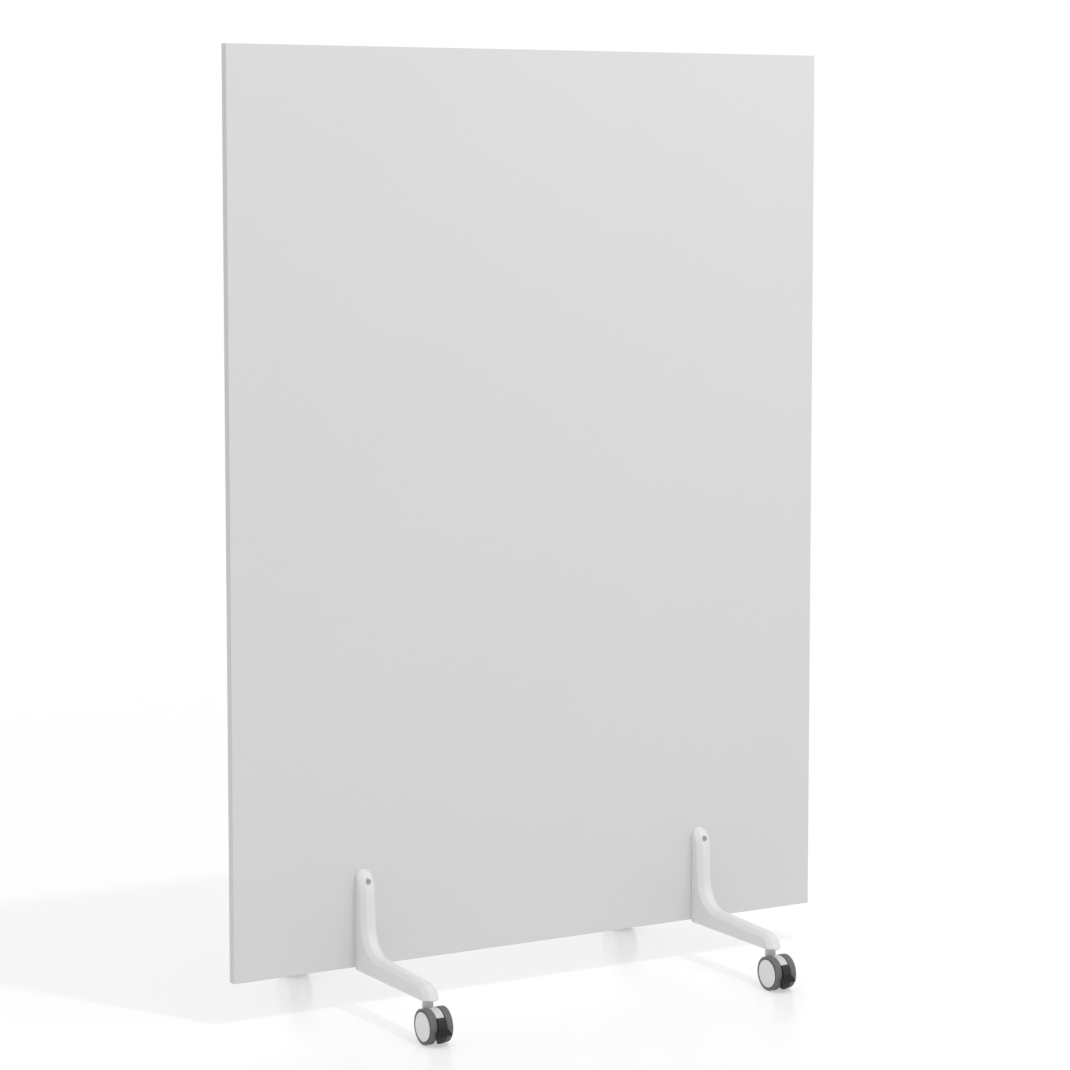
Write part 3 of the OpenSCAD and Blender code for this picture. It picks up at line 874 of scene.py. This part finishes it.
teeth_rule = Rule(
    "teeth round a hub", count=TOOTH_COUNT, radius=0.0215,
    tooth_length=0.0052, tooth_width=0.0063, tooth_depth=0.0062, turn=0.0,
)
add, size = teeth_rule.node, teeth_rule.size
points = add(
    "GeometryNodeMeshCircle", {"fill_type": "NONE"},
    {"Vertices": size("count"), "Radius": size("radius")},
)
sides = [size(side) for side in ("tooth_length", "tooth_width", "tooth_depth")]
tooth_size = add("ShaderNodeCombineXYZ", {}, sides)
tooth = add(
    "GeometryNodeMeshCube", {},
    {"Size": tooth_size, "Vertices X": 2, "Vertices Y": 2, "Vertices Z": 2},
)
facing = add(
    "FunctionNodeAlignEulerToVector", {"axis": "X", "pivot_axis": "Z"},
    {"Vector": add("GeometryNodeInputPosition")},
)
set_out = add(
    "GeometryNodeInstanceOnPoints", {}, {"Points": points, "Instance": tooth, "Rotation": facing},
)
ring_turn = add("ShaderNodeCombineXYZ", {}, {"Z": size("turn")})
teeth_rule.end(add("GeometryNodeTransform", {}, {"Geometry": set_out, "Rotation": ring_turn}))
teeth_flat = teeth_rule.grow("teeth", hub_nylon, turn=pi / TOOTH_COUNT - slot_turn)
print("slots are turned by", round(degrees(slot_turn), 2), "degrees")

# %% [markdown]
# ## Hubs and side discs
# A hub is a turned dish: a boss that runs on the axle, a web, and a rim that carries the
# tread. The side disc snaps into it and is nearly flush with the tyre. Its face is flat,
# with a rounded edge that gives the thin line round it. Sizes are radii and distances from
# the middle of the caster, in millimetres.

# %% Wheel pieces
WHEEL_IN, WHEEL_OUT = 10.2, 24.2
BORE_R, HUB_BOSS_R, RIM_IN_R, RIM_R = 3.06, 7.0, 26.8, 28.8
HUB_BOSS_IN, WEB_IN, WEB_OUT, HUB_BOSS_OUT, RIM_OUT = 6.0, 14.0, 17.0, 21.4, 23.3
TOOTH_WALL_IN_R, TOOTH_WALL_R, TEETH_IN, TEETH_MIDDLE = 18.6, 20.6, 7.0, 10.4
DISC_R, DISC_IN, DISC_OUT = 28.5, 23.4, 25.0
SNAP_IN_R, SNAP_R, SNAP_IN = 25.2, 26.75, 20.9


def round_x(mesh, x):
    """A mesh made flat round Z is turned to lie round X, centred at x in millimetres."""
    out = mesh.copy()
    for v in out.vertices:
        v.co = Vector((v.co.z + x * MM, v.co.x, v.co.y))
    return out


def softened(mesh, width, segments=3, angle=30):
    """The mesh with its sharp edges rounded by a bevel of this width in millimetres."""
    def add_bevel(helper):
        bevel = helper.modifiers.new("bevel", "BEVEL")
        bevel.width, bevel.segments = width * MM, segments
        bevel.limit_method, bevel.angle_limit = "ANGLE", radians(angle)

    return evaluated(mesh, add_bevel)


def box_outline(low_r, high_r, low, high):
    """Four corners of a ring's section, from the inner radius out."""
    return [(low_r, low), (high_r, low), (high_r, high), (low_r, high)]


tyre = round_x(tyre_flat, (WHEEL_IN + WHEEL_OUT) / 2)
hub_outline = [
    (BORE_R, HUB_BOSS_IN), (HUB_BOSS_R, HUB_BOSS_IN), (HUB_BOSS_R, WEB_IN), (RIM_IN_R, WEB_IN),
    (RIM_IN_R, WHEEL_IN), (RIM_R, WHEEL_IN), (RIM_R, RIM_OUT), (RIM_IN_R, RIM_OUT),
    (RIM_IN_R, WEB_OUT), (HUB_BOSS_R, WEB_OUT), (HUB_BOSS_R, HUB_BOSS_OUT), (BORE_R, HUB_BOSS_OUT),
]
hub_dish = lathe("hub", rounded(hub_outline, 0.4, 2))
tooth_wall_outline = box_outline(TOOTH_WALL_IN_R, TOOTH_WALL_R, TEETH_IN, WEB_IN + 0.2)
tooth_wall = lathe("tooth_wall", rounded(tooth_wall_outline, 0.3, 2), 72)
hub = joined("hub", [hub_dish, tooth_wall, round_x(softened(teeth_flat, 0.3, 2), TEETH_MIDDLE)])

disc_outline = [
    (ON_AXIS, DISC_IN), (SNAP_IN_R, DISC_IN), (SNAP_IN_R, SNAP_IN), (SNAP_R, SNAP_IN),
    (SNAP_R, DISC_IN), (DISC_R, DISC_IN), (DISC_R, DISC_OUT), (ON_AXIS, DISC_OUT),
]
disc = lathe("disc", rounded(disc_outline, [0, 0.1, 0.2, 0.2, 0.1, 0.3, 0.55, 0], 4), 120)
print("wheel from", WHEEL_IN, "to", WHEEL_OUT, "mm")

# %% [markdown]
# ## Hood
# Between the wheels, a curved hood covers the axle and carries the boss that turns on the
# stem. It is one moulding: an arc-shaped shell, a pad that thickens the shell over the
# boss, a web inside it and the boss. Angles are in degrees, from straight out over the top.

# %% Shell, web and pad of the hood
HOOD_R, HOOD_IN_R, HOOD_HALF, HOOD_FROM, HOOD_TO = 34.2, 31.2, 8.75, 37, 205
WEB_HALF, WEB_FROM, PAD_FROM, PAD_TO = 2.5, 60, 106, 152


def arc(radius, start, end, steps):
    """Points on a circle round the axle, as (outwards, up) in millimetres."""
    turns = [radians(start + (end - start) * k / steps) for k in range(steps + 1)]
    return [(radius * cos(a), radius * sin(a)) for a in turns]


def plate(name, outline, low, high):
    """Extrudes an outline of (outwards, up) in millimetres from x low to x high."""
    return skinned(name, [[(x * MM, -out * MM, up * MM) for out, up in outline] for x in (low, high)])


pivot = (near_pin - near_axle) / MM
pin_out, pin_up = -pivot.y, pivot.z
shell_outline = arc(HOOD_R, HOOD_FROM, HOOD_TO, 72) + arc(HOOD_IN_R, HOOD_TO, HOOD_FROM, 72)
hood_shell = softened(plate("hood_shell", shell_outline, -HOOD_HALF, HOOD_HALF), 0.9, 4, 40)
web_front = [(0, 0), (4, -6), (pin_out + 4.2, pin_up - 1), (pin_out + 1, pin_up + 4.2)]
web_outline = web_front + arc(HOOD_IN_R + 0.4, WEB_FROM, HOOD_TO, 48) + [(-6, -3)]
hood_web = softened(plate("hood_web", web_outline, -WEB_HALF, WEB_HALF), 0.3, 2, 40)
pad_outline = arc(HOOD_IN_R + 0.5, PAD_FROM, PAD_TO, 20) + arc(HOOD_IN_R - 3, PAD_TO, PAD_FROM, 20)
pad = softened(plate("pad", pad_outline, -HOOD_HALF + 0.4, HOOD_HALF - 0.4), 0.4, 2, 40)
print("lever turns at", [round(pin_out, 2), round(pin_up, 2)], "mm from the axle")

# %% [markdown]
# ## Bosses of the hood
# The boss turns on the stem just under the collar, and the axle runs in a short sleeve.
# Shell, web and pad overlap, so each is cut before they are joined, by three upright
# cylinders: the collar's pocket, the stem's bore and the room of the spring clip.

# %% Hood with its bosses and its bore
SWIVEL_GAP, BOSS_H, BOSS_R, JOURNAL_R = 0.3, 12, 8, 5.06
POCKET_R, CLIP_ROOM_R, CLIP_ROOM_H = 11.05, 7.8, 3.6
boss_high = collar_low - SWIVEL_GAP - axle_z
boss_low = boss_high - BOSS_H
stem_offset = near_stem.y - near_axle.y


def post(radius, low, high):
    """An upright cylinder on the stem's axis, as a cutter."""
    out = drill(radius, low, high, 0, 64)
    for v in out.vertices:
        v.co = Vector((v.co.x, v.co.z + stem_offset, -v.co.y))
    return out


boss_outline = rounded(box_outline(JOURNAL_R, BOSS_R, boss_low, boss_high), [0.2, 0.6, 0.5, 0.2], 3)
boss = moved(upright(lathe("boss", boss_outline, 64)), (0, stem_offset, 0))
axle_boss = lathe("axle_boss", rounded(box_outline(3.0, 6.5, -5.5, 5.5), 0.4, 3), 48)
room = [
    post(POCKET_R, boss_high, boss_high + 20),
    post(JOURNAL_R, boss_low - 1, boss_high + 1),
    post(CLIP_ROOM_R, boss_low - CLIP_ROOM_H, boss_low),
]
hood = joined("hood", [drilled(part, room) for part in (hood_shell, hood_web, pad)] + [boss, axle_boss])
print("hood:", len(hood.polygons), "faces")

# %% [markdown]
# ## Brake lever
# The lever is a curved black shell that carries on the hood's line between the wheels. It is
# skinned over flat rings, which narrow towards both ends as its corners are rounded.

# %% Shell of the lever
SHELL_OUT, SHELL_UP, SHELL_R, SHELL_T, LEVER_HALF = 4.0, -2.5, 35.5, 3.0, 9.7
SHELL_FROM, SHELL_TO = radians(-52), radians(41.5)
SHELL_L = (SHELL_TO - SHELL_FROM) * SHELL_R
TAIL_R, TOP_R, SHELL_EDGE = 8.6, 4.2, 0.7


def shell_ring(s):
    """The section at a distance s along the shell."""
    a = SHELL_FROM + s / SHELL_R
    edge = max(pulled_in(s, SHELL_EDGE), pulled_in(SHELL_L - s, SHELL_EDGE))
    half = LEVER_HALF - edge - pulled_in(s, TAIL_R) - pulled_in(SHELL_L - s, TOP_R)
    deep = SHELL_T / 2 - edge
    corners = [(-half, -deep), (-half, deep), (half, deep), (half, -deep)]
    ring = []
    for x, d in rounded(corners, max(SHELL_EDGE - edge, 0.02), 4):
        radius = SHELL_R - SHELL_T / 2 + d
        out, up = SHELL_OUT + radius * cos(a), SHELL_UP + radius * sin(a)
        ring.append((x * MM, -out * MM, up * MM))
    return ring


quarter = [1 - cos(radians(10 * k)) for k in range(10)]
tail = sorted({round(r * q, 4) for r in (SHELL_EDGE, TAIL_R) for q in quarter})
top = sorted({round(SHELL_L - r * q, 4) for r in (SHELL_EDGE, TOP_R) for q in quarter})
middle = [tail[-1] + (top[0] - tail[-1]) * k / 36 for k in range(1, 36)]
lever_shell = skinned("lever_shell", [shell_ring(s) for s in tail + middle + top])
print("lever shell:", len(lever_shell.polygons), "faces")

# %% [markdown]
# ## Lip and arms of the lever
# Low down the shell grows a lip with a pointed wing to each side, for the toe of a shoe. Two
# arms behind the shell hold it on its pin, one on each side of the hood's web.

# %% Lever with its lip and arms
LIP_IN, LIP_OUT, LIP_LOW, LIP_HIGH = 38.7, 41.8, -13, 0.5
WING_HALF, WING_LOW, WING_HIGH, WING_R = 18.5, -12.2, -10, 0.5
ARM_X, ARM_HALF = 4.7, 1.5
right = [(LEVER_HALF, LIP_LOW), (WING_HALF, WING_LOW), (WING_HALF, WING_HIGH), (LEVER_HALF, LIP_HIGH)]
left = [(-x, z) for x, z in reversed(right)]
outline = rounded(left[-1:] + right + left[:-1], [0, 0, WING_R, WING_R, 0, 0, WING_R, WING_R], 2)
lip = skinned("lip", [[(x * MM, -d * MM, z * MM) for x, z in outline] for d in (LIP_IN, LIP_OUT)])
root_outline = [(35.8, LIP_LOW), (39.2, LIP_LOW), (39.2, LIP_HIGH), (36.5, LIP_HIGH)]
lip_root = plate("lip_root", root_outline, -LEVER_HALF + 0.2, LEVER_HALF - 0.2)
arm_outline = rounded([
    (pin_out - 3.2, pin_up - 1.6), (pin_out - 0.5, pin_up + 3.4), (pin_out + 3.6, pin_up + 0.2),
    (33.6, 11.5), (37, -5), (26, -3.2), (22.9, 0.8),
], 1.2, 3)
arms = [plate("lever_arm", arm_outline, x - ARM_HALF, x + ARM_HALF) for x in (-ARM_X, ARM_X)]
lever = joined("brake_lever", [lever_shell, softened(lip, 0.7, 3), lip_root] + arms)
print("lever:", len(lever.polygons), "faces")

# %% [markdown]
# ## Four casters from one
# The casters are alike, mirrored left to right and front to back. Each piece made above is
# copied to the four corners and rides on its own body, so that hood, wheels and lever
# move as they do on the real caster.

# %% Put the caster pieces in place
WHEEL_PIECES = (
    ("tyre", "round", tyre, tread), ("hub", "toothed", hub, hub_nylon), ("disc", "crowned", disc, disc_nylon),
)
for corner, flip in CORNERS.items():
    at = tuple(axle_at[corner])
    turn = (flip[0], flip[1], 1)
    placed = moved(hood, at, turn)
    piece(corner + "_hood_moulded", placed, hood_nylon, corner + "_swivel", "caster_hood", [corner + "_hood"])
    placed = moved(lever, at, turn)
    replaced = [corner + "_brake_lever"]
    piece(corner + "_lever_moulded", placed, lever_nylon, corner + "_lever", "brake_lever", replaced)
    for side, sign in (("inner", 1), ("outer", -1)):
        wheel = (flip[0] * sign, flip[1], 1)
        body = f"{corner}_{side}_wheel"
        for kind, look, mesh, finish in WHEEL_PIECES:
            node = f"{corner}_{side}_{kind}"
            piece(f"{node}_{look}", moved(mesh, at, wheel), finish, body, "wheel_" + kind, [node])
    for node in ("axle", "lever_pin", "brake_bar"):
        dress(f"{corner}_{node}", bright_bar)
print("casters placed:", ", ".join(CORNERS))

# %% [markdown]
# ## Floor
# The partition stands in a white studio. The floor is a pale, faintly glossy sheet, so the
# object leaves a soft shadow and a weak mirror image. Rays that are watched, by the camera or
# in a reflection, see it lifted towards white paper: a little near the object, where the
# shadow has to stay, and wholly far away.

# %% Studio floor
FLOOR_NEAR, FLOOR_FAR = 1.8, 4.5
NEAR_WHITE, NEAR_LIFT = 0.38, 0.075
FLOOR_CORNERS = [(-30, -30, 0), (30, -30, 0), (30, 60, 0), (-30, 60, 0)]


def watched_by(tree):
    """1 for a ray from the camera, off a glossy surface or through a clear one."""
    kinds = ("Is Camera Ray", "Is Glossy Ray", "Is Transmission Ray")
    rays = [tree.node("ShaderNodeLightPath", output=kind) for kind in kinds]
    return rays[0].math("MAXIMUM", rays[1]).math("MAXIMUM", rays[2])


sheet = Finish("studio_floor")
sheet.set(Base_Color=(0.95, 0.95, 0.95, 1), Roughness=0.22, Specular_IOR_Level=0.35)
from_middle = sheet.vector("LENGTH", sheet.place, output="Value")
away = sheet.band(from_middle, FLOOR_NEAR, FLOOR_FAR)
watched = watched_by(sheet)
paper = sheet.node("ShaderNodeEmission", {}, {"Color": (1, 1, 1, 1), "Strength": 1.0})
lift = sheet.node("ShaderNodeMixShader", {}, {0: watched * (1.0 - away) * NEAR_LIFT, 2: paper})
lit = Value(sheet, sheet.shader.outputs[0])
white_share = watched * (NEAR_WHITE + away * (1 - NEAR_WHITE))
whitened = sheet.node("ShaderNodeMixShader", {}, [white_share, lit, paper])
surface = sheet.node("ShaderNodeAddShader", {}, [whitened, lift])
output = sheet.tree.nodes["Material Output"].inputs["Surface"]
sheet.tree.links.new(surface.socket, output)

floor = new_object("floor", mesh_of("floor", FLOOR_CORNERS, [(0, 1, 2, 3)]))
floor.data.materials.append(sheet.material)
print("the floor is white beyond", FLOOR_FAR, "m")

# %% [markdown]
# ## World and lamps
# The world is white to the camera and in reflections, and gives an even, gentle light. A
# small lamp high in front, a little to the right, gives the direction: the place of the
# panel's shadow on the floor says where it hangs. A broad, weak lamp lower at the right
# makes the panel paler towards its upper right.

# %% World and lamps
EVEN_LIGHT = 0.74
world = bpy.data.worlds.new("studio_world")
bpy.context.scene.world = world
world.use_nodes = True
sky = Tree(world.node_tree)
sky.tree.nodes.clear()
even = sky.node("ShaderNodeBackground", {}, {"Color": (1, 1, 1, 1), "Strength": EVEN_LIGHT})
white = sky.node("ShaderNodeBackground", {}, {"Color": (1, 1, 1, 1), "Strength": 1.0})
choice = sky.node("ShaderNodeMixShader", {}, [watched_by(sky), even, white])
sky.node("ShaderNodeOutputWorld", {}, {"Surface": choice})


def lamp(name, at, target, size, power):
    """A round lamp that looks at its target. size is in metres and power in watts."""
    light = bpy.data.lights.new(name, "AREA")
    light.shape, light.size, light.energy = "DISK", size, power
    thing = new_object(name, light)
    thing.location = at
    thing.rotation_euler = (Vector(target) - Vector(at)).to_track_quat("-Z", "Y").to_euler()
    print(name, "hangs at", at)


lamp("key_lamp", (0.824, -2.954, 6.575), (0, 0, 0.9), 0.30, 89)
lamp("wash_lamp", (1.6, -1.8, 3.3), (0.2, 0, 1.3), 1.2, 9)

# %% [markdown]
# ## Camera
# The object is seen from the left front, from about head height, through a long lens. The
# numbers come from the perspective of the panel's four corners. The lens is shifted a little
# instead of tilted further, so that upright edges stay nearly upright.

# %% Camera
CAMERA_AT, LENS_MM, LENS_SHIFT = (-3.2728, -5.5775, 1.684), 107.07, -0.07
TILT_DOWN, TURN_RIGHT = radians(5.29), radians(30.43)
camera = new_object("camera", bpy.data.cameras.new("camera"))
camera.data.sensor_width = 36.0
camera.data.lens = LENS_MM
camera.data.shift_y = LENS_SHIFT
camera.data.clip_end = 200
camera.location = CAMERA_AT
camera.rotation_euler = (pi / 2 - TILT_DOWN, 0, -TURN_RIGHT)
bpy.context.scene.camera = camera
bpy.context.scene.view_settings.view_transform = "Standard"
print("camera at", CAMERA_AT)
